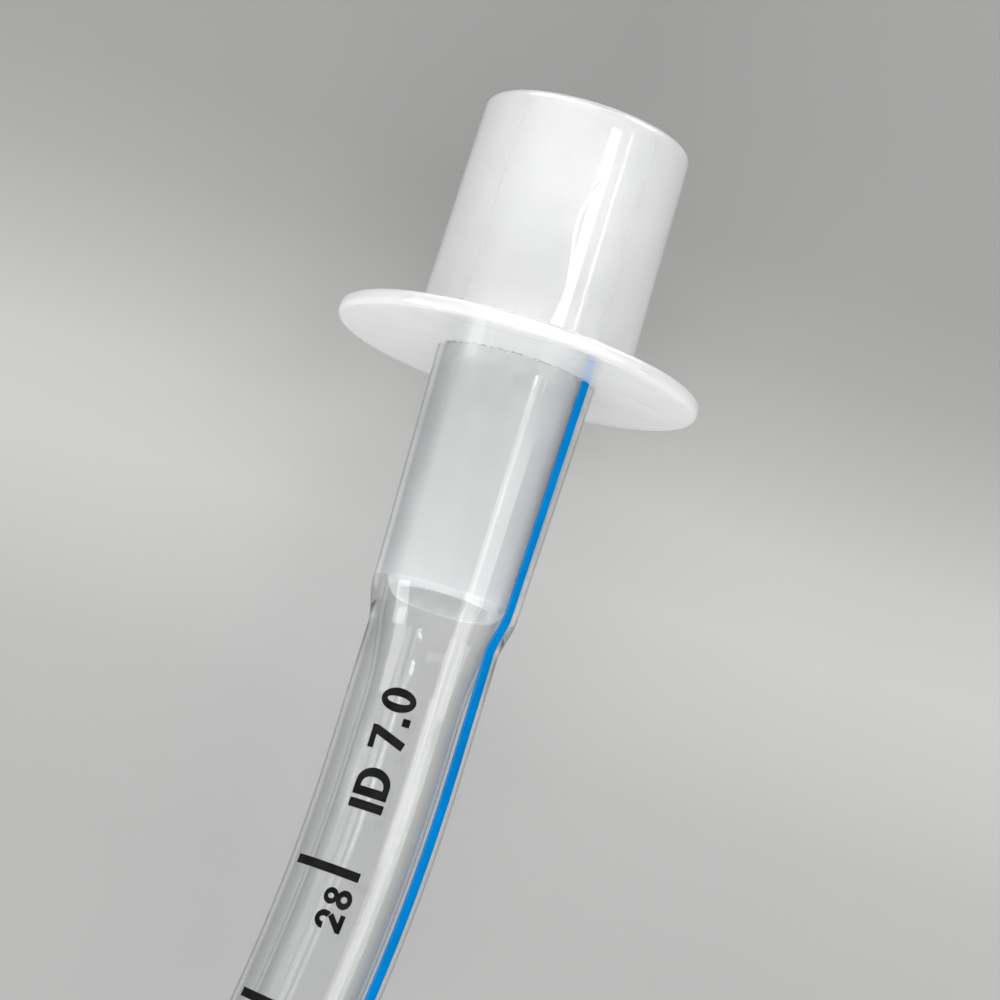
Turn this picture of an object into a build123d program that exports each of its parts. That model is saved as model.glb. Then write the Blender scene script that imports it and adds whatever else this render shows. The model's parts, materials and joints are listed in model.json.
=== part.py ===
from build123d import *
import os
from math import asin, cos, degrees, radians, sin

# Uncuffed tracheal tube of inside diameter 7.0 with its 15 mm connector pushed in.
# It is drawn flat: the connector's axis is Y, with the machine end at +Y and the flange's
# underside at Y = 0, and the tube bends in the XY plane, towards -X. Then it is tipped into
# the pose in which it lies on a table, which is Z = 0. Sizes are in millimetres.

# Connector: a male cone, a round flange and a hollow stem, moulded in one piece
cone_tip_radius = 7.535
cone_taper = 1 / 40
cone_length = 17.2
cone_rim_round = 0.7
mouth_radius = 6.1
mouth_rim_chamfer = 0.35
funnel_length = 4.3
flange_radius = 13.2
flange_thickness = 1.1
flange_rim_round = 0.4
flange_root_round = 0.5
stem_root_radius = 4.8
stem_tip_radius = 4.42
stem_length = 17.2
stem_bore_radius = 3.4
stem_tip_chamfer = 0.4

# Tube: a clear extrusion bent to one radius, its machine end stretched over the stem
lumen_radius = 3.5
tube_radius = 4.7
tube_length = 317.0
straight_length = 28.5
bend_radius = 140.0
stretched_root_wall = 0.96
stretched_tip_wall = 0.85
neck_length = 3.0

# Patient end: a bevel that faces up, and an eye through the wall opposite it
bevel_angle = 38.0
bevel_edge_round = 0.3
eye_length = 8.4
eye_width = 5.6
eye_from_tip = 14.5

# Radiopaque line: set into the outside of the wall, between the print and the bend's back
line_azimuth = 58.5
line_arc = 12.5
line_depth = 0.4

# The angle along the bend at which the tube touches the table
touch_angle = 74.0

cone_root_radius = cone_tip_radius + cone_length * cone_taper / 2
cone_top = flange_thickness + cone_length
bend_angle = degrees((tube_length - straight_length) / bend_radius)
bend_axis = Axis((-bend_radius, -straight_length, 0), (0, 0, -1))
bend_start = Plane(origin=(0, -straight_length, 0), x_dir=(1, 0, 0), z_dir=(0, -1, 0))


# Connector
def turned(*points):
    """A solid turned about the connector's axis from (radius, height) points."""
    return revolve(make_face(Polyline(*points, close=True)), Axis.Y)


def rim(solid, radius, height):
    """The round edges of a turned solid that have this radius and height."""
    rounds = solid.edges().filter_by(GeomType.CIRCLE)
    return [edge for edge in rounds
            if abs(edge.radius - radius) < 0.01 and abs(edge.arc_center.Y - height) < 0.01]


def connector():
    body = turned(
        (0, cone_top), (cone_tip_radius, cone_top), (cone_root_radius, flange_thickness),
        (flange_radius, flange_thickness), (flange_radius, 0), (stem_root_radius, 0),
        (stem_tip_radius, -stem_length), (0, -stem_length))
    body = fillet(rim(body, cone_tip_radius, cone_top), cone_rim_round)
    body = fillet(rim(body, cone_root_radius, flange_thickness), flange_root_round)
    body = fillet(rim(body, flange_radius, flange_thickness), flange_rim_round)
    body = fillet(rim(body, flange_radius, 0), flange_rim_round)
    body = chamfer(rim(body, stem_tip_radius, -stem_length), stem_tip_chamfer)
    body -= turned(
        (0, cone_top), (mouth_radius, cone_top), (mouth_radius, funnel_length),
        (stem_bore_radius, 0), (stem_bore_radius, -stem_length), (0, -stem_length))
    return chamfer(rim(body, mouth_radius, cone_top), mouth_rim_chamfer)


# Tube
def half_profile(root_radius, tip_radius, plain_radius):
    """Half of the straight stretch: a taper along the stem, a neck past it, then plain."""
    neck_end = -stem_length - neck_length
    taper = Line((root_radius, 0), (tip_radius, -stem_length))
    neck = Spline(
        (tip_radius, -stem_length), (plain_radius, neck_end),
        tangents=[(tip_radius - root_radius, -stem_length), (0, -1)])
    rest = Polyline(
        (plain_radius, neck_end), (plain_radius, -straight_length), (0, -straight_length),
        (0, 0), (root_radius, 0))
    return make_face(taper + neck + rest)


def bent_rod(root_radius, tip_radius, plain_radius):
    """A full rod along the whole tube: its straight stretch, then the bend."""
    straight = revolve(half_profile(root_radius, tip_radius, plain_radius), Axis.Y)
    return straight + revolve(bend_start * Circle(plain_radius), bend_axis, bend_angle)


def along_bend(angle):
    """The centre line's place, heading and outward direction at an angle along the bend."""
    turn = radians(angle)
    place = Vector(bend_radius * (cos(turn) - 1), -straight_length - bend_radius * sin(turn), 0)
    return place, Vector(-sin(turn), -cos(turn), 0), Vector(cos(turn), -sin(turn), 0)


def bevel_waste():
    """What the bevel takes off, from the tip at the table side back to the upper side."""
    end, heading, outward = along_bend(bend_angle)
    slope = radians(bevel_angle)
    facing = heading * sin(slope) + Vector(0, 0, cos(slope))
    face = Plane(origin=end - Vector(0, 0, tube_radius), x_dir=outward, z_dir=facing)
    side = 4 * tube_radius / sin(slope)
    return face * Box(side, side, side, align=(Align.CENTER, Align.CENTER, Align.MIN))


def outer_form(outer_radii):
    """The tube without its bore, bevelled, with the bevel's outer edge rounded over."""
    form = bent_rod(*outer_radii) - bevel_waste()
    face = form.faces().filter_by(GeomType.PLANE).sort_by(lambda flat: flat.normal_at().Z)[-1]
    return fillet(face.outer_wire().edges(), bevel_edge_round)


def side_eye():
    """The punch that opens the eye, from the centre line down through the wall."""
    place, heading, _ = along_bend(bend_angle - degrees(eye_from_tip / bend_radius))
    face = Plane(origin=place, x_dir=heading, z_dir=(0, 0, -1))
    return extrude(face * SlotOverall(eye_length, eye_width), 2 * tube_radius)


def tube(outside, line):
    bore = bent_rod(stem_root_radius, stem_tip_radius, lumen_radius)
    return outside - bore - line - side_eye()


# Radiopaque line
def line_sector():
    """The line's section in the plain tube."""
    ring = Circle(tube_radius) - Circle(tube_radius - line_depth)
    sides = [radians(line_azimuth + half * line_arc / 2) for half in (-1, 1)]
    corners = [(2 * tube_radius * sin(side), 2 * tube_radius * cos(side)) for side in sides]
    return ring & make_face(Polyline((0, 0), *corners, close=True))


def radiopaque_line(outer_radii, outside):
    inner_radii = [radius - line_depth for radius in outer_radii]
    skin = half_profile(*outer_radii) - half_profile(*inner_radii)
    first_side = Rot(Y=line_azimuth - line_arc / 2 - 90)
    straight = revolve(first_side * skin, Axis.Y, line_arc)
    bend = revolve(bend_start * line_sector(), bend_axis, bend_angle)
    return (straight + bend) & outside


# Pose
def lying(pieces):
    """Tip the pieces until the flange's rim and the bend both touch the table."""
    turn = radians(touch_angle)
    place, heading, _ = along_bend(touch_angle)
    reach = bend_radius * (1 - cos(turn)) + straight_length * sin(turn)
    tilt = degrees(asin((flange_radius - tube_radius) / reach))
    tipped = [piece.rotate(Axis(place, heading), -tilt) for piece in pieces]
    box = Compound(tipped).bounding_box()
    centre = box.center()
    return [piece.moved(Location((-centre.X, -centre.Y, -box.min.Z))) for piece in tipped]


def main():
    outer_radii = (
        stem_root_radius + stretched_root_wall, stem_tip_radius + stretched_tip_wall, tube_radius)
    outside = outer_form(outer_radii)
    line = radiopaque_line(outer_radii, outside)
    drawn = [connector(), tube(outside, line), line]
    os.makedirs("parts", exist_ok=True)
    names = ["connector", "tube", "radiopaque_line"]
    for name, piece in zip(names, lying(drawn)):
        export_step(piece, f"parts/{name}.step")
        print(name, round(piece.volume, 1))


main()
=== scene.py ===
# %% [markdown]
# # A tracheal tube and its 15 mm connector
# The solids come in as a fixed frame. The clear tube, the milky connector, the blue line and
# the ink are then made again as finer meshes, because light shows every facet in clear plastic.

# %% Load the frame
import json
from math import asin, cos, degrees, pi, radians, sin, tan

import bpy
from mathutils import Matrix, Vector


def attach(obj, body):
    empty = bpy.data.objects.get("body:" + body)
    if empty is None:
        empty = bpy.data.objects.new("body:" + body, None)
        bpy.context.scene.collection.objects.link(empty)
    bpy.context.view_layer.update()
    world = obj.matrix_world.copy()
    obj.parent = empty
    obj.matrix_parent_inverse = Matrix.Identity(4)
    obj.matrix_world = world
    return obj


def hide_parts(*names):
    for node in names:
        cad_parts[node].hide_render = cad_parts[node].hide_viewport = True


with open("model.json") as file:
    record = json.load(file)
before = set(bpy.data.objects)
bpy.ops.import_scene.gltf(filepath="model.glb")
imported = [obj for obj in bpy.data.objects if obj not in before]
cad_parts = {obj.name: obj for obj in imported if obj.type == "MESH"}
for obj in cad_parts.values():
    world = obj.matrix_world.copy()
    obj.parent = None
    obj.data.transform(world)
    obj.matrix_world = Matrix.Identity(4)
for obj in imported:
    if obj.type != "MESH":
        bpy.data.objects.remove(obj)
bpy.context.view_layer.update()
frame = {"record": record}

MM = 0.001

# %% [markdown]
# ## Sizes of the connector
# The connector is one moulding: a cone that goes into the machine's socket, a flange to push
# against, and a stem that the tube is stretched over. Its sizes are those of the solids, in
# millimetres, so that the finer mesh lands on them.

# %% Sizes of the connector
cone_tip_radius = 7.535
cone_taper = 1 / 40
cone_length = 17.2
cone_rim_round = 0.7
mouth_radius = 6.1
mouth_rim_chamfer = 0.35
funnel_length = 4.3
flange_radius = 13.2
flange_thickness = 1.1
flange_rim_round = 0.4
flange_root_round = 0.5
stem_root_radius = 4.8
stem_tip_radius = 4.42
stem_length = 17.2
stem_bore_radius = 3.4
stem_tip_chamfer = 0.4

cone_root_radius = cone_tip_radius + cone_length * cone_taper / 2
cone_top = flange_thickness + cone_length
print("cone", round(2 * cone_tip_radius, 2), "to", round(2 * cone_root_radius, 2), "mm wide")

# %% [markdown]
# ## From the drawing to the table
# The sizes describe the tube as drawn, flat, with the connector along Y. At rest it is tipped
# until it touches the table with the flange's rim and, far along the bend, with its low side.
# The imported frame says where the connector's cone really is, so the same tipping turn, moved
# onto that cone, takes any drawn point to its place on the table.

# %% The lying pose
touch_angle = 74.0
mount_above_flange = 8.55

cone_mount = next(m for m in frame["record"]["mounts"] if m["name"] == "machine_cone")
touch_turn = radians(touch_angle)
touch_heading = Vector((-sin(touch_turn), -cos(touch_turn), 0))
cone_axis = Vector(cone_mount["axis"])
tilt = asin(cone_axis.z / sin(touch_turn))
tip_over = Matrix.Rotation(-tilt, 4, touch_heading)
cone_middle = flange_thickness + mount_above_flange
to_cone = Matrix.Translation(Vector(cone_mount["pos_m"]) / MM)
lying = to_cone @ tip_over @ Matrix.Translation((0, -cone_middle, 0))
flange_place = lying @ Vector((0, 0, 0))
print("tilt", round(degrees(tilt), 2), "flange at", [round(v, 2) for v in flange_place])


def placed(point):
    """A drawn point in millimetres, moved to the table, in metres."""
    return (lying @ Vector(point)) * MM


# %% [markdown]
# ## The camera
# The photograph looks at the connector from a hand's length away through a long lens. The
# camera is set from where the flange's centre falls in the picture and how the connector's axis
# leans there: across the picture, and away from the camera.

# %% Camera
picture_size = 1000
focal_pixels = 3300.0
flange_pixel = (520.25, 354.6)
flange_distance = 232.8
lean_across = radians(16.95)
lean_away = radians(9.17)
roll = radians(2.08)

seen_axis = Vector((
    sin(lean_across) * cos(lean_away), cos(lean_across) * cos(lean_away), -sin(lean_away)))
towards = Vector((0, 0, 1))
facing = (towards - seen_axis * towards.dot(seen_axis)).normalized()
beside = seen_axis.cross(facing)
seen_up = facing * cos(roll) + beside * sin(roll)
seen_side = beside * cos(roll) - facing * sin(roll)
seen_from_drawn = Matrix((seen_side, seen_axis, seen_up)).transposed().to_4x4()
half = picture_size / 2
flange_seen = Vector((
    (flange_pixel[0] - half) * flange_distance / focal_pixels,
    (half - flange_pixel[1]) * flange_distance / focal_pixels,
    -flange_distance))
drawn_from_seen = (
    Matrix.Translation((0, flange_thickness, 0)) @ seen_from_drawn.inverted()
    @ Matrix.Translation(-flange_seen))
camera_pose = lying @ drawn_from_seen

camera_data = bpy.data.cameras.new("camera")
camera_data.sensor_width = 36
camera_data.lens = 36 * focal_pixels / picture_size
camera_data.clip_start = 0.01
camera = bpy.data.objects.new("camera", camera_data)
bpy.context.scene.collection.objects.link(camera)
camera_place = Matrix.Translation(camera_pose.translation * MM)
camera.matrix_world = camera_place @ camera_pose.to_3x3().to_4x4()
bpy.context.scene.camera = camera
print("camera at", [round(v, 3) for v in camera.location])

# %% [markdown]
# ## Floor, light and background
# Clear plastic shows what is around it more than itself. A plain grey floor and a few large
# soft lights give it long, soft bands, as a window and a light tent do in the photograph.

# %% Node helpers
scene = bpy.context.scene
scene.view_settings.view_transform = "Standard"


def new_material(name):
    """A node material with its tree, its Principled shader and its output."""
    material = bpy.data.materials.new(name)
    material.use_nodes = True
    tree = material.node_tree
    return material, tree, tree.nodes["Principled BSDF"], tree.nodes["Material Output"]


def add_node(tree, kind, **values):
    """A node of this kind, with its properties and its named inputs set."""
    node = tree.nodes.new("ShaderNode" + kind)
    for name, value in values.items():
        if hasattr(node, name):
            setattr(node, name, value)
        else:
            node.inputs[name.replace("_", " ").title()].default_value = value
    return node


def colour_ramp(tree, source, *stops):
    """Colours along a value from 0 to 1, each stop a place and a colour."""
    ramp = tree.nodes.new("ShaderNodeValToRGB")
    while len(ramp.color_ramp.elements) < len(stops):
        ramp.color_ramp.elements.new(0.5)
    for element, (place, colour) in zip(ramp.color_ramp.elements, stops):
        element.position = place
        element.color = (*colour, 1)
    tree.links.new(source, ramp.inputs["Fac"])
    return ramp.outputs["Color"]


def object_noise(tree, scale, detail, stretch=(1, 1, 1)):
    """Noise that is fixed to the piece, with this many waves a metre."""
    place = add_node(tree, "TexCoord")
    stretched = add_node(tree, "Mapping", Scale=stretch)
    noise = add_node(tree, "TexNoise", Scale=scale, Detail=detail)
    tree.links.new(place.outputs["Object"], stretched.inputs["Vector"])
    tree.links.new(stretched.outputs["Vector"], noise.inputs["Vector"])
    return noise.outputs["Fac"]


def mixed_colours(tree, share, first, second, blend_type):
    """Two colours mixed by a share, each given as a socket or as a plain value."""
    mix = add_node(tree, "Mix", data_type="RGBA", blend_type=blend_type)
    factor, first_input, second_input = mix.inputs[0], mix.inputs[6], mix.inputs[7]
    for value, socket in ((share, factor), (first, first_input), (second, second_input)):
        if isinstance(value, bpy.types.NodeSocket):
            tree.links.new(value, socket)
        else:
            socket.default_value = value
    return mix.outputs[2]


def mixed_shaders(tree, share, first, second, output):
    """Two shaders mixed by a share from a socket, as the material's surface."""
    blend = add_node(tree, "MixShader")
    tree.links.new(share, blend.inputs["Fac"])
    tree.links.new(first, blend.inputs[1])
    tree.links.new(second, blend.inputs[2])
    tree.links.new(blend.outputs["Shader"], output.inputs["Surface"])


# %% [markdown]
# The world is a plain grey dome, a little paler above than at the floor. A picture of a real room
# would put shapes into the clear plastic that the photograph doesn't have, so it is a ramp of
# three greys over the height.

# %% World
world = bpy.data.worlds.new("studio")
scene.world = world
world.use_nodes = True
tree = world.node_tree
sky = tree.nodes["Background"]
place = add_node(tree, "TexCoord")
split = add_node(tree, "SeparateXYZ")
tree.links.new(place.outputs["Generated"], split.inputs[0])
dome = colour_ramp(
    tree, split.outputs["Z"],
    (0.0, (0.34, 0.345, 0.35)), (0.35, (0.46, 0.465, 0.47)), (0.7, (0.55, 0.555, 0.56)))
tree.links.new(dome, sky.inputs["Color"])
sky.inputs["Strength"].default_value = 1.0
print("world", world.name)

# %% [markdown]
# The backdrop is grey with one soft pale band behind the stem. That band is painted light: a ramp
# of paler and darker greys in the floor's colour, which fades to a plain grey away from the
# connector. Rays from the camera, reflections and clear plastic see that colour partly lit and
# partly as it is written, so the floor keeps a soft shadow.

# %% Floor
floor_size = 3.0
band_start, band_end = 0.02, 0.12
band_centre = (0.088, 0.056, 0)
band_full_to, band_gone_at = 0.06, 0.16
# Painted light: the greys of a pale band across the floor, darker on either side of it.
painted_light_band_greys = [
    (0.20, 0.40), (0.32, 0.425), (0.39, 0.47), (0.46, 0.505), (0.53, 0.485), (0.60, 0.41),
    (0.675, 0.345), (0.75, 0.315), (0.85, 0.31)]
warmth = 0.985
plain_grey = (0.38, 0.38, 0.375, 1)
as_written_share = 0.6

bpy.ops.mesh.primitive_plane_add(size=floor_size)
floor = bpy.context.object
floor.name = "floor"
floor_material, tree, shader, output = new_material("floor_grey")
place = add_node(tree, "TexCoord")
split = add_node(tree, "SeparateXYZ")
tree.links.new(place.outputs["Object"], split.inputs[0])
along = add_node(tree, "MapRange", From_Min=band_start, From_Max=band_end)
tree.links.new(split.outputs["Y"], along.inputs["Value"])
grey_stops = [(stop, (grey, grey, grey * warmth)) for stop, grey in painted_light_band_greys]
# The painted band of light, laid across the floor and faded to plain grey away from the connector.
painted_light_band = colour_ramp(tree, along.outputs["Result"], *grey_stops)
away = add_node(tree, "VectorMath", operation="DISTANCE")
tree.links.new(place.outputs["Object"], away.inputs[0])
away.inputs[1].default_value = band_centre
fade = add_node(
    tree, "MapRange", interpolation_type="SMOOTHSTEP",
    From_Min=band_full_to, From_Max=band_gone_at)
tree.links.new(away.outputs["Value"], fade.inputs["Value"])
floor_colour = mixed_colours(tree, fade.outputs["Result"], painted_light_band, plain_grey, "MIX")
tree.links.new(floor_colour, shader.inputs["Base Color"])
shader.inputs["Roughness"].default_value = 0.9
shader.inputs["Specular IOR Level"].default_value = 0.1
as_written = add_node(tree, "Emission", Strength=1.0)
tree.links.new(floor_colour, as_written.inputs["Color"])
rays = add_node(tree, "LightPath")
seen = rays.outputs["Is Camera Ray"]
for kind in ("Is Glossy Ray", "Is Transmission Ray"):
    either = add_node(tree, "Math", operation="MAXIMUM")
    tree.links.new(seen, either.inputs[0])
    tree.links.new(rays.outputs[kind], either.inputs[1])
    seen = either.outputs[0]
share = add_node(tree, "Math", operation="MULTIPLY")
tree.links.new(seen, share.inputs[0])
share.inputs[1].default_value = as_written_share
mixed_shaders(
    tree, share.outputs[0], shader.outputs["BSDF"], as_written.outputs["Emission"], output)
floor.data.materials.append(floor_material)
print("floor", floor_size, "m with", len(painted_light_band_greys), "greys")

# %% [markdown]
# Each lamp is a soft panel that makes one thing in the picture: the window and its bar make the
# two long highlights on the cone, the left and right panels the long bands in the tube, the stem
# light the bright line over the stem, and the others fill the milky plastic from above, from the
# front and from both sides.


# %% Lamps
def soft_light(name, azimuth, rise, distance, width, length, radiance, turn):
    """A soft panel that faces the flange, turned round the tube from straight up, in degrees.

    The rise is its slope towards the connector's mouth, and the sizes are in metres.
    """
    data = bpy.data.lights.new(name, "AREA")
    data.shape = "RECTANGLE"
    data.size = width
    data.size_y = length
    data.energy = radiance * pi * width * length
    lamp = bpy.data.objects.new(name, data)
    scene.collection.objects.link(lamp)
    direction = Vector((sin(radians(azimuth)), rise, cos(radians(azimuth)))).normalized()
    back = lying.to_3x3() @ direction
    side = (lying.to_3x3() @ Vector((0, 1, 0))).cross(back).normalized()
    facing_turn = Matrix((side, back.cross(side), back)).transposed().to_4x4()
    own_turn = Matrix.Rotation(radians(turn), 4, "Z")
    spot = placed((0, 0, 0)) + back * distance
    lamp.matrix_world = Matrix.Translation(spot) @ facing_turn @ own_turn


lamps = [
    # name, azimuth, rise, distance, width, length, radiance, turn
    ("window", 27, 0.25, 0.6, 0.11, 0.12, 10.0, -6),
    ("window_bar", 45, 0.25, 0.6, 0.03, 0.12, 6.0, -6),
    ("top", -20, 1.0, 0.8, 0.6, 0.6, 2.1, 0),
    ("front", -10, -1.6, 0.7, 0.5, 0.4, 6.8, 0),
    ("right_panel", 44, -0.314, 0.6, 0.28, 0.54, 2.6, 0),
    ("left_panel", -72, -0.37, 0.5, 0.2, 0.4, 4.0, 0),
    ("left_side", -72, 1.3, 0.6, 0.3, 0.3, 1.8, 0),
    ("right_side", 72, 1.3, 0.6, 0.3, 0.3, 1.8, 0),
    ("stem_light", 32, 0.06, 0.6, 0.10, 0.12, 2.5, 0),
]
for lamp_values in lamps:
    soft_light(*lamp_values)
print(len(lamps), "lamps")

# %% [markdown]
# ## Turned and swept meshes
# The connector is a body of revolution, so it is one profile turned round its axis. The tube is
# a grid too: rings along the length, and points round each ring.


# %% Mesh helpers
def mesh_object(name, points, faces, material):
    """A smooth mesh from drawn points, placed on the table."""
    mesh = bpy.data.meshes.new(name)
    mesh.from_pydata([placed(point) for point in points], [], faces)
    mesh.update()
    body = bpy.data.objects.new(name, mesh)
    scene.collection.objects.link(body)
    body.data.materials.append(material)
    mesh.shade_smooth()
    return body


def corner_arc(centre, radius, start, end, steps=6):
    """Points of a rounded corner in a (radius, height) profile, angles in degrees."""
    return [(centre[0] + radius * cos(radians(start + (end - start) * i / steps)),
             centre[1] + radius * sin(radians(start + (end - start) * i / steps)))
            for i in range(steps + 1)]


def divided(points, longest):
    """The same outline with long runs cut into shorter ones."""
    out = []
    for first, last in zip(points, points[1:]):
        run = ((last[0] - first[0]) ** 2 + (last[1] - first[1]) ** 2) ** 0.5
        pieces = max(1, round(run / longest))
        out += [(first[0] + (last[0] - first[0]) * i / pieces,
                 first[1] + (last[1] - first[1]) * i / pieces) for i in range(pieces)]
    return out


# %% [markdown]
# ## Milky plastic
# The connector is polypropylene: light goes in, scatters and comes out soft, and thin edges let
# the background through. Subsurface scattering gives the milk, and a share of transmission the
# thin see-through edges. Fine cross strokes and a few stray scratches in the clear coat break up
# the edge of its long highlight, as handling does. Where the tube wets the stem there is no air
# between them, so the stem hardly bends light (index 1.03) and shows more of what is behind it.


# %% Milky plastic, dry and wetted
def rubbed_coat(tree, strokes):
    """A normal with fine strokes, and with stray scratches where a wide noise passes its middle."""
    fine = add_node(tree, "Bump", Strength=0.025, Distance=0.0001)
    tree.links.new(strokes, fine.inputs["Height"])
    stray = object_noise(tree, 75.0, 0.0)
    scratch = colour_ramp(tree, stray, (0.494, (0, 0, 0)), (0.5, (1, 1, 1)), (0.506, (0, 0, 0)))
    cuts = add_node(tree, "Bump", Strength=0.3, Distance=0.00005)
    tree.links.new(scratch, cuts.inputs["Height"])
    tree.links.new(fine.outputs["Normal"], cuts.inputs["Normal"])
    return cuts.outputs["Normal"]


def see_through(tree, shader, output, flat, tilted, edge_on):
    """Let shares of the rays pass straight, fewer where the wall is seen edge on and is thick."""
    facing = add_node(tree, "LayerWeight", Blend=0.5)
    shares = [(0.0, (flat,) * 3), (0.6, (tilted,) * 3), (0.95, (edge_on,) * 3)]
    thin = colour_ramp(tree, facing.outputs["Facing"], *shares)
    through = add_node(tree, "BsdfTransparent")
    mixed_shaders(tree, thin, shader.outputs["BSDF"], through.outputs["BSDF"], output)


def milky_plastic(
        name, milk_dark, milk_light, clear_share, index, rough_from, rough_to, coat_roughness,
        straight_shares):
    """Cloudy plastic with a thin clear coat, which lets some of the light straight through."""
    material, tree, shader, output = new_material(name)
    cloud = object_noise(tree, 180.0, 4.0)
    milk = colour_ramp(tree, cloud, (0.3, milk_dark), (0.7, milk_light))
    tree.links.new(milk, shader.inputs["Base Color"])
    strokes = object_noise(tree, 1.0, 6.0, (150, 2200, 150))
    rough = add_node(
        tree, "MapRange", From_Min=0.35, From_Max=0.7, To_Min=rough_from, To_Max=rough_to)
    tree.links.new(strokes, rough.inputs["Value"])
    tree.links.new(rough.outputs["Result"], shader.inputs["Roughness"])
    tree.links.new(rubbed_coat(tree, strokes), shader.inputs["Coat Normal"])
    shader.inputs["Subsurface Weight"].default_value = 1.0
    shader.inputs["Subsurface Radius"].default_value = (1.0, 1.0, 1.0)
    shader.inputs["Subsurface Scale"].default_value = 0.003
    shader.inputs["Transmission Weight"].default_value = clear_share
    shader.inputs["IOR"].default_value = index
    shader.inputs["Coat Weight"].default_value = 1.0
    shader.inputs["Coat Roughness"].default_value = coat_roughness
    shader.inputs["Coat IOR"].default_value = 1.5
    see_through(tree, shader, output, *straight_shares)
    return material


dry_plastic = milky_plastic(
    "milky_polypropylene", milk_dark=(0.82, 0.825, 0.83), milk_light=(0.93, 0.928, 0.922),
    clear_share=0.5, index=1.49, rough_from=0.36, rough_to=0.44, coat_roughness=0.05,
    straight_shares=(0.14, 0.10, 0.02))
wet_plastic = milky_plastic(
    "milky_polypropylene_in_tube", milk_dark=(0.56, 0.56, 0.56), milk_light=(0.62, 0.62, 0.62),
    clear_share=0.0, index=1.03, rough_from=0.5, rough_to=0.6, coat_roughness=0.3,
    straight_shares=(0.52, 0.42, 0.15))
print(dry_plastic.name, wet_plastic.name)

# %% [markdown]
# ## The connector
# Its outline goes up inside, over the mouth's rim, down the cone, round the flange, down the stem
# and back to the bore. Long runs are cut shorter, because long thin faces shade badly, and edges
# sharper than 40 degrees stay crisp. The faces below the flange get the wetted plastic.

# %% Connector
around = 144
longest_run = 1.0
crisp_angle = radians(40)
wet_slot = 1
rim_slope = cone_rim_round * cone_taper / 2
profile = (
    [(stem_bore_radius, 0), (mouth_radius, funnel_length),
     (mouth_radius, cone_top - mouth_rim_chamfer), (mouth_radius + mouth_rim_chamfer, cone_top)]
    + corner_arc((cone_tip_radius + rim_slope - cone_rim_round, cone_top - cone_rim_round),
                 cone_rim_round, 90, 0)
    + corner_arc((cone_root_radius + flange_root_round, flange_thickness + flange_root_round),
                 flange_root_round, 180, 270)
    + corner_arc((flange_radius - flange_rim_round, flange_thickness - flange_rim_round),
                 flange_rim_round, 90, 0)
    + corner_arc((flange_radius - flange_rim_round, flange_rim_round), flange_rim_round, 0, -90)
    + [(stem_root_radius, 0), (stem_tip_radius, stem_tip_chamfer - stem_length),
       (stem_tip_radius - stem_tip_chamfer, -stem_length), (stem_bore_radius, -stem_length),
       (stem_bore_radius, 0)])
profile = divided(profile, longest_run)
connector_points = [
    (radius * sin(2 * pi * i / around), height, radius * cos(2 * pi * i / around))
    for radius, height in profile for i in range(around)]
rows = len(profile)
connector_faces = [
    (r * around + i, r * around + (i + 1) % around,
     (r + 1) % rows * around + (i + 1) % around, (r + 1) % rows * around + i)
    for r in range(rows) for i in range(around)]
connector = mesh_object("connector_shell", connector_points, connector_faces, dry_plastic)
connector.data.set_sharp_from_angle(angle=crisp_angle)
connector.data.materials.append(wet_plastic)
for face in connector.data.polygons:
    if sum(connector_points[corner][1] for corner in face.vertices) < 0:
        face.material_index = wet_slot
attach(connector, "root")
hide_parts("connector")
print("connector", len(connector_faces), "faces")

# %% [markdown]
# ## The clear tube
# Soft PVC is clear with a slight grey-green tint. The wall has a real inside and outside, so part
# of the bright and dark lines along the edges comes from the wall itself, and the dark bands along
# the edges are painted shade in the wall's colour. It is stretched over the tapered stem, necks
# down past the stem's end and then bends to one radius. All of that is worked out along one length,
# from the flange to the tip, so a place on the tube is just a length and an angle round it.

# %% The tube's form
lumen_radius = 3.5
tube_radius = 4.7
tube_length = 317.0
straight_length = 28.5
bend_radius = 140.0
stretched_root_wall = 0.96
stretched_tip_wall = 0.85
neck_length = 3.0
inner_neck_length = 7.5
bevel_angle = 38.0
print("bends through", round(degrees((tube_length - straight_length) / bend_radius)), "degrees")


def blend_radius(root, tip, plain, length, blend=neck_length):
    """The tube's radius at a length: a taper over the stem, a neck, then plain."""
    slope = (tip - root) / stem_length
    if length < stem_length:
        return root + slope * length
    t = (length - stem_length) / blend
    if t > 1:
        return plain
    return ((2 * t ** 3 - 3 * t ** 2 + 1) * tip + (t ** 3 - 2 * t ** 2 + t) * slope * blend
            + (3 * t ** 2 - 2 * t ** 3) * plain)


def outer_radius(length):
    return blend_radius(
        stem_root_radius + stretched_root_wall, stem_tip_radius + stretched_tip_wall,
        tube_radius, length)


def inner_radius(length):
    return blend_radius(stem_root_radius, stem_tip_radius, lumen_radius, length, inner_neck_length)


def centre_line(length):
    """The centre line's place and outward direction at a length from the flange."""
    turn = max(0.0, length - straight_length) / bend_radius
    straight = min(length, straight_length)
    place = Vector((bend_radius * (cos(turn) - 1), -straight - bend_radius * sin(turn), 0))
    return place, Vector((cos(turn), -sin(turn), 0))


def tube_point(length, azimuth, radius):
    """A point at a length, an angle from straight up towards the bend's back, and a radius."""
    place, outward = centre_line(length)
    return place + outward * (radius * sin(azimuth)) + Vector((0, 0, radius * cos(azimuth)))


def bevel_end(azimuth, radius):
    """Where the bevel ends the wall: at the tip below, and further back above."""
    return tube_length - (radius * cos(azimuth) + tube_radius) / tan(radians(bevel_angle))
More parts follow.
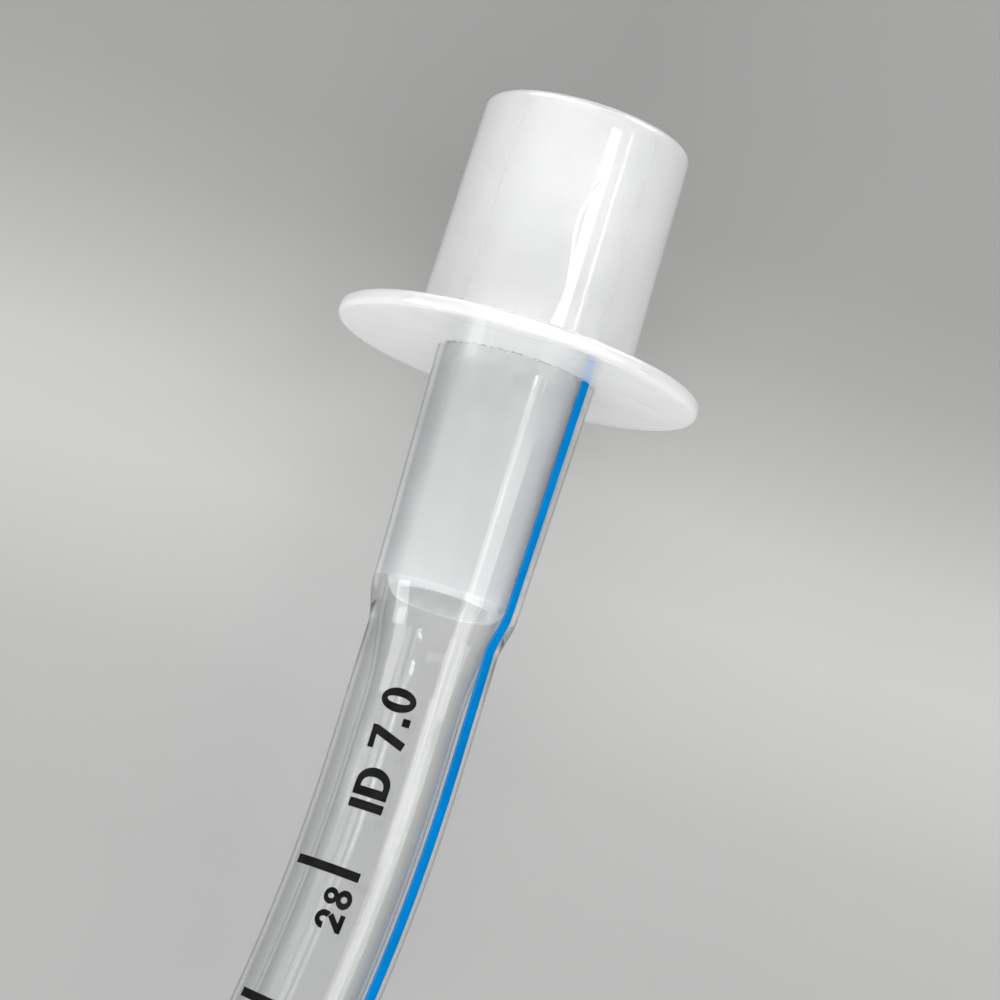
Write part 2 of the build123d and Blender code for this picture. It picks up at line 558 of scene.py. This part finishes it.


# %% [markdown]
# The clear wall is painted darker where it is seen nearly edge on. A ramp over how steeply a face
# is seen paints dark bands along the tube's edges, with a clear band between them: painted shade
# for the dark surroundings that such a wall shows there. Absorption inside the wall would darken it
# a little as well, but it takes many samples in so thin a wall. Shadow rays pass straight through,
# because a clear tube's shadow is pale.

# %% Clear material
tube_material, tree, shader, output = new_material("clear_pvc")
ripple = object_noise(tree, 220.0, 2.0)
haze = add_node(tree, "MapRange", To_Min=0.03, To_Max=0.09)
tree.links.new(ripple, haze.inputs["Value"])
tree.links.new(haze.outputs["Result"], shader.inputs["Roughness"])
tint = colour_ramp(tree, ripple, (0.3, (0.968, 0.972, 0.972)), (0.7, (0.98, 0.983, 0.983)))
# Painted shade: dark bands on faces seen nearly edge on, with a clear band between them, for the
# dark surroundings that the wall would show there.
facing = add_node(tree, "LayerWeight", Blend=0.5)
edge = colour_ramp(
    tree, facing.outputs["Facing"],
    (0.25, (1.0, 1.0, 1.0)), (0.40, (0.62, 0.64, 0.65)), (0.58, (0.42, 0.44, 0.46)),
    (0.66, (1.0, 1.0, 1.0)), (0.74, (1.0, 1.0, 1.0)), (0.82, (0.26, 0.28, 0.30)))
tree.links.new(mixed_colours(tree, 1.0, tint, edge, "MULTIPLY"), shader.inputs["Base Color"])
shader.inputs["Transmission Weight"].default_value = 1.0
shader.inputs["IOR"].default_value = 1.52
rays = add_node(tree, "LightPath")
through = add_node(tree, "BsdfTransparent")
through.inputs["Color"].default_value = (0.93, 0.95, 0.95, 1)
mixed_shaders(
    tree, rays.outputs["Is Shadow Ray"], shader.outputs["BSDF"], through.outputs["BSDF"], output)
print(tube_material.name)

# %% [markdown]
# Over the stem the bore touches the connector and there is no air to bend the light, so the
# bore's faces there are plain transparent ones.

# %% Contact faces
contact_material, tree, shader, output = new_material("clear_contact")
through = add_node(tree, "BsdfTransparent")
tree.links.new(through.outputs["BSDF"], output.inputs["Surface"])
print(contact_material.name)

# %% [markdown]
# A blade leaves the bevel and the eye's edge slightly frosted, so light stops there and scatters.
# Without that, a clear cut face looks black, because the light that it shows got lost in the wall.

# %% Cut faces
cut_material, tree, shader, output = new_material("frosted_cut")
grain = object_noise(tree, 1500.0, 2.0)
frost = colour_ramp(tree, grain, (0.3, (0.40, 0.42, 0.42)), (0.7, (0.50, 0.52, 0.52)))
tree.links.new(frost, shader.inputs["Base Color"])
shader.inputs["Roughness"].default_value = 0.5
shader.inputs["Transmission Weight"].default_value = 0.45
shader.inputs["IOR"].default_value = 1.52
print(cut_material.name)

# %% [markdown]
# Each direction round the tube gets one closed loop of points: along the outside, over the
# bevel's rounded edge and back along the bore. The loops are joined side by side. Rows stand
# close together in the neck and further apart in the long bend, where one radius is enough.

# %% Tube mesh
press = 0.03
bevel_edge_round = 0.3
end_stretch = 20
bevel_start = tube_length - end_stretch
bevel_rows = 16
contact_slot, cut_slot = 1, 2
coarse_step, bend_step, neck_step = 2.0, 0.5, 0.2


def spread(start, end, step):
    """Lengths from start up to but without end, near this step apart."""
    rows = round((end - start) / step)
    return [start + (end - start) * i / rows for i in range(rows)]


seat_end = stem_length - stem_tip_chamfer
neck_end = stem_length + neck_length
lengths = (
    spread(0, seat_end, coarse_step) + spread(seat_end, neck_end, neck_step)
    + spread(neck_end, straight_length, bend_step)
    + spread(straight_length, bevel_start, coarse_step) + [bevel_start])
end_shares = [i / bevel_rows for i in range(1, bevel_rows + 1)]


def wall_column(azimuth, radius_at, end_radius, setback=0.0):
    """The points of one wall line, from the flange to the bevel or to a setback before it."""
    column = [tube_point(length, azimuth, radius_at(length)) for length in lengths]
    end = bevel_end(azimuth, end_radius) - setback
    column += [tube_point(bevel_start + (end - bevel_start) * share, azimuth, end_radius)
               for share in end_shares]
    return column


def bevel_corner(azimuth):
    """The rounded corner between the outside and the bevel, as a bow of three points."""
    start = (bevel_end(azimuth, tube_radius) - bevel_edge_round, tube_radius)
    corner = (bevel_end(azimuth, tube_radius), tube_radius)
    inner = tube_radius - bevel_edge_round
    end = (bevel_end(azimuth, inner), inner)
    bow_points = []
    for t in (0.33, 0.67, 1.0):
        length, radius = [
            (1 - t) ** 2 * a + 2 * t * (1 - t) * b + t * t * c
            for a, b, c in zip(start, corner, end)]
        bow_points.append(tube_point(length, azimuth, radius))
    return bow_points


def seated_inner(length):
    """The bore, pressed a hair into the stem so that no air shows between them."""
    return inner_radius(length) - (press if length < seat_end else 0)


columns = []
for i in range(around):
    azimuth = 2 * pi * i / around
    outside = wall_column(azimuth, outer_radius, tube_radius, bevel_edge_round)
    outside += bevel_corner(azimuth)
    inside = wall_column(azimuth, seated_inner, lumen_radius)
    columns.append(outside + inside[::-1])
ring = len(columns[0])
tube_points = [point for column in columns for point in column]
tube_faces = [
    (i * ring + j, i * ring + (j + 1) % ring,
     (i + 1) % around * ring + (j + 1) % ring, (i + 1) % around * ring + j)
    for i in range(around) for j in range(ring)]
tube = mesh_object("tube_wall", tube_points, tube_faces, tube_material)
tube.data.materials.append(contact_material)
tube.data.materials.append(cut_material)
bevel_row = len(outside) - 1
seat_rows = sum(length < seat_end for length in lengths)
for face in tube.data.polygons:
    row = face.index % ring
    if ring - 1 - seat_rows <= row < ring - 1:
        face.material_index = contact_slot
    elif row == bevel_row:
        face.material_index = cut_slot
print("tube", len(tube_faces), "faces")

# %% [markdown]
# A punch takes the side eye out of the lower wall, as the real eye is punched, and the edges
# that it and the bevel leave are kept crisp.

# %% Side eye
eye_length = 8.4
eye_width = 5.6
eye_from_tip = 14.5

eye_place, eye_outward = centre_line(tube_length - eye_from_tip)
eye_heading = Vector((0, 0, 1)).cross(eye_outward)
eye_side = eye_width / 2
eye_reach = (eye_length - eye_width) / 2
eye_steps = 24
outline = []
for i in range(2 * eye_steps + 2):
    half_turn, step = divmod(i, eye_steps + 1)
    angle = pi * step / eye_steps + pi * half_turn - pi / 2
    reach = eye_reach if half_turn == 0 else -eye_reach
    along_eye = eye_heading * (reach + eye_side * cos(angle))
    outline.append(eye_place + along_eye + eye_outward * (eye_side * sin(angle)))
sides = len(outline)
punch_points = outline + [point - Vector((0, 0, 2 * tube_radius)) for point in outline]
punch_faces = [(i, (i + 1) % sides, sides + (i + 1) % sides, sides + i) for i in range(sides)]
punch_faces += [tuple(reversed(range(sides))), tuple(range(sides, 2 * sides))]
punch = mesh_object("eye_punch", punch_points, punch_faces, tube_material)
punch.data.materials.append(contact_material)
punch.data.materials.append(cut_material)
for face in punch.data.polygons:
    face.material_index = cut_slot
cut = tube.modifiers.new("side_eye", "BOOLEAN")
cut.operation = "DIFFERENCE"
cut.object = punch
bpy.context.view_layer.objects.active = tube
bpy.ops.object.modifier_apply(modifier=cut.name)
bpy.data.objects.remove(punch)
tube.data.set_sharp_from_angle(angle=crisp_angle)
print("with its eye", len(tube.data.polygons), "faces")
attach(tube, "root")
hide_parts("tube")


# %% [markdown]
# ## The blue line
# The radiopaque line is coloured plastic that is set into the outside of the wall. It could be
# painted on the tube's faces, but as a body of its own it also shows from inside the clear wall.
# Its top stands a hair proud of the clear skin, so that nothing clear bends the light over it.

# %% Blue line
line_material, tree, shader, output = new_material("blue_line")
streak = object_noise(tree, 400.0, 3.0)
blue = colour_ramp(tree, streak, (0.3, (0.0, 0.155, 0.44)), (0.7, (0.0, 0.19, 0.52)))
tree.links.new(blue, shader.inputs["Base Color"])
shader.inputs["Roughness"].default_value = 0.5
shader.inputs["Specular IOR Level"].default_value = 0.0

line_azimuth = 58.5
line_arc = 12.5
stretched_line_arc = 9.0
line_top_depth = -0.01
line_bottom_depth = 0.42
line_start = 0.02
line_steps = 8
line_crisp_angle = radians(50)
end_rows = 60
line_lengths = [max(length, line_start) for length in lengths]
line_lengths += [bevel_start + bend_step * i for i in range(1, end_rows)]


def line_section(length):
    """The corners of the line's section at a length, over and back under."""
    skin = outer_radius(length)
    past_stem = min(1.0, max(0.0, (length - stem_length) / neck_length))
    arc = stretched_line_arc + (line_arc - stretched_line_arc) * past_stem
    sides = [radians(line_azimuth + arc * (i / line_steps - 0.5)) for i in range(line_steps + 1)]
    over = [tube_point(length, side, skin - line_top_depth) for side in sides]
    under = [tube_point(length, side, skin - line_bottom_depth) for side in reversed(sides)]
    return over + under


line_end = bevel_end(radians(line_azimuth), tube_radius) - bevel_edge_round
sections = [line_section(length) for length in line_lengths if length < line_end]
across = len(sections[0])
line_points = [point for section in sections for point in section]
line_faces = [
    (r * across + i, (r + 1) * across + i, (r + 1) * across + (i + 1) % across,
     r * across + (i + 1) % across)
    for r in range(len(sections) - 1) for i in range(across)]
last_section = range(len(line_points) - across, len(line_points))
line_faces += [tuple(range(across)), tuple(reversed(last_section))]
line = mesh_object("blue_line", line_points, line_faces, line_material)
line.data.set_sharp_from_angle(angle=line_crisp_angle)
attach(line, "root")
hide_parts("radiopaque_line")
print("line", len(line_faces), "faces")

# %% [markdown]
# ## The print
# The size and the depth marks are a thin film of black ink on the tube. Each figure is built
# from bars and rings in its own small drawing, and every point of it is then laid on the tube
# by length and angle, so the print follows the bend.


# %% Figures
def bar(x0, y0, x1, y1, width, steps=6):
    """A straight stroke as a strip of four-cornered faces, in figure heights."""
    run, rise = x1 - x0, y1 - y0
    long = (run * run + rise * rise) ** 0.5
    nx, ny = -rise / long * width / 2, run / long * width / 2
    left = [(x0 + run * i / steps + nx, y0 + rise * i / steps + ny) for i in range(steps + 1)]
    right = [(x0 + run * i / steps - nx, y0 + rise * i / steps - ny) for i in range(steps + 1)]
    return left, right


thin_share = 0.85


def bow(cx, cy, rx, ry, width, start=0, end=360, steps=24):
    """Part of an oval ring, a little thinner above and below, angles in degrees."""
    outer, inner = [], []
    for i in range(steps + 1):
        angle = radians(start + (end - start) * i / steps)
        outer.append((cx + rx * cos(angle), cy + ry * sin(angle)))
        inner.append((cx + (rx - width) * cos(angle),
                      cy + (ry - width * thin_share) * sin(angle)))
    return outer, inner


heavy = 0.23
figures = {
    "I": (0.30, [bar(0.15, 0, 0.15, 1, heavy)]),
    "D": (0.78, [bar(0.12, 0, 0.12, 1, heavy), bar(0.12, 0.91, 0.36, 0.91, 0.18),
                 bar(0.12, 0.09, 0.36, 0.09, 0.18), bow(0.34, 0.5, 0.40, 0.5, heavy, 90, -90)]),
    "0": (0.66, [bow(0.32, 0.5, 0.30, 0.51, 0.21)]),
    "1": (0.66, [bar(0.36, 0, 0.36, 1, 0.21), bar(0.12, 0.72, 0.36, 0.90, 0.15)]),
    "2": (0.66, [bow(0.31, 0.70, 0.29, 0.31, 0.20, 190, -35), bar(0.50, 0.52, 0.13, 0.12, 0.20),
                 bar(0.03, 0.09, 0.60, 0.09, 0.18)]),
    "4": (0.66, [bar(0.43, 0, 0.43, 1, 0.20), bar(0.02, 0.29, 0.62, 0.29, 0.16),
                 bar(0.40, 0.93, 0.08, 0.30, 0.16)]),
    "6": (0.66, [bow(0.32, 0.33, 0.30, 0.34, 0.20), bow(0.40, 0.48, 0.38, 0.54, 0.20, 195, 80)]),
    "7": (0.64, [bar(0.03, 0.91, 0.61, 0.91, 0.18), bar(0.50, 0.85, 0.22, 0, 0.22)]),
    "8": (0.66, [bow(0.32, 0.27, 0.30, 0.28, 0.20), bow(0.32, 0.75, 0.26, 0.26, 0.18)]),
    ".": (0.22, [bar(0.11, 0, 0.11, 0.22, 0.20)]),
    " ": (0.26, []),
}
print(len(figures), "figures")

# %% [markdown]
# A picture of the print would need an unwrapped tube and would blur close up. Strips of faces
# just above the skin stay sharp, and enough cuts across and along each one let it bend round
# the tube.

# %% Laying the print on the tube
ink_lift = 0.02
ink_points = []
ink_faces = []


def lay_strip(left, right, to_tube):
    """A strip of the drawing, cut across its width as well and laid on the tube."""
    cuts = 4
    first = len(ink_points)
    for a, b in zip(left, right):
        for k in range(cuts + 1):
            share = k / cuts
            length, azimuth = to_tube(a[0] + (b[0] - a[0]) * share, a[1] + (b[1] - a[1]) * share)
            ink_points.append(tube_point(length, azimuth, outer_radius(length) + ink_lift))
    for i in range(len(left) - 1):
        for k in range(cuts):
            corner = first + i * (cuts + 1) + k
            ink_faces.append((corner, corner + 1, corner + cuts + 2, corner + cuts + 1))


def write_text(text, start, foot_azimuth, height, broad=1.15, spacing=0.06):
    """Text that reads from the patient end up, its feet towards the bend's back."""
    advance = 0.0
    for letter in text:
        width, strokes = figures[letter]
        for left, right in strokes:
            def to_tube(x, y, advance=advance):
                length = start - (advance + x) * broad * height
                return length, radians(foot_azimuth) - y * height / tube_radius
            lay_strip(left, right, to_tube)
        advance += width + spacing


def tick(length, from_azimuth, to_azimuth, width=0.65):
    """A depth mark across the tube."""
    left, right = bar(from_azimuth, length, to_azimuth, length, width, 24)
    lay_strip(left, right, lambda x, y: (y, radians(x)))


# %% [markdown]
# Ink is nearly black and dull. The marks stand a centimetre apart, and every second one has its
# number and a longer tick.

# %% Ink
ink_material, tree, shader, output = new_material("black_ink")
grain = object_noise(tree, 900.0, 3.0)
black = colour_ramp(
    tree, grain, (0.3, (0.004, 0.0045, 0.004)), (0.75, (0.012, 0.013, 0.012)))
tree.links.new(black, shader.inputs["Base Color"])
shader.inputs["Roughness"].default_value = 0.5
shader.inputs["Specular IOR Level"].default_value = 0.04

size_start, size_foot, size_height = 33.15, 0.7, 2.45
number_lead, number_foot, number_height = 4.05, 2.5, 1.95
tick_from, long_tick_to, short_tick_to = -62.5, 1.5, -24
first_mark, last_mark = 28, 12
first_mark_length = 37.5
mark_spacing = 10

write_text("ID 7.0", size_start, size_foot, size_height)
for mark in range(first_mark, last_mark - 1, -1):
    mark_length = first_mark_length + (first_mark - mark) * mark_spacing
    if mark % 2 == 0:
        tick(mark_length, tick_from, long_tick_to)
        write_text(str(mark), mark_length + number_lead, number_foot, number_height)
    else:
        tick(mark_length, tick_from, short_tick_to)
ink = mesh_object("ink_print", ink_points, ink_faces, ink_material)
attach(ink, "root")
print("ink", len(ink_faces), "faces")
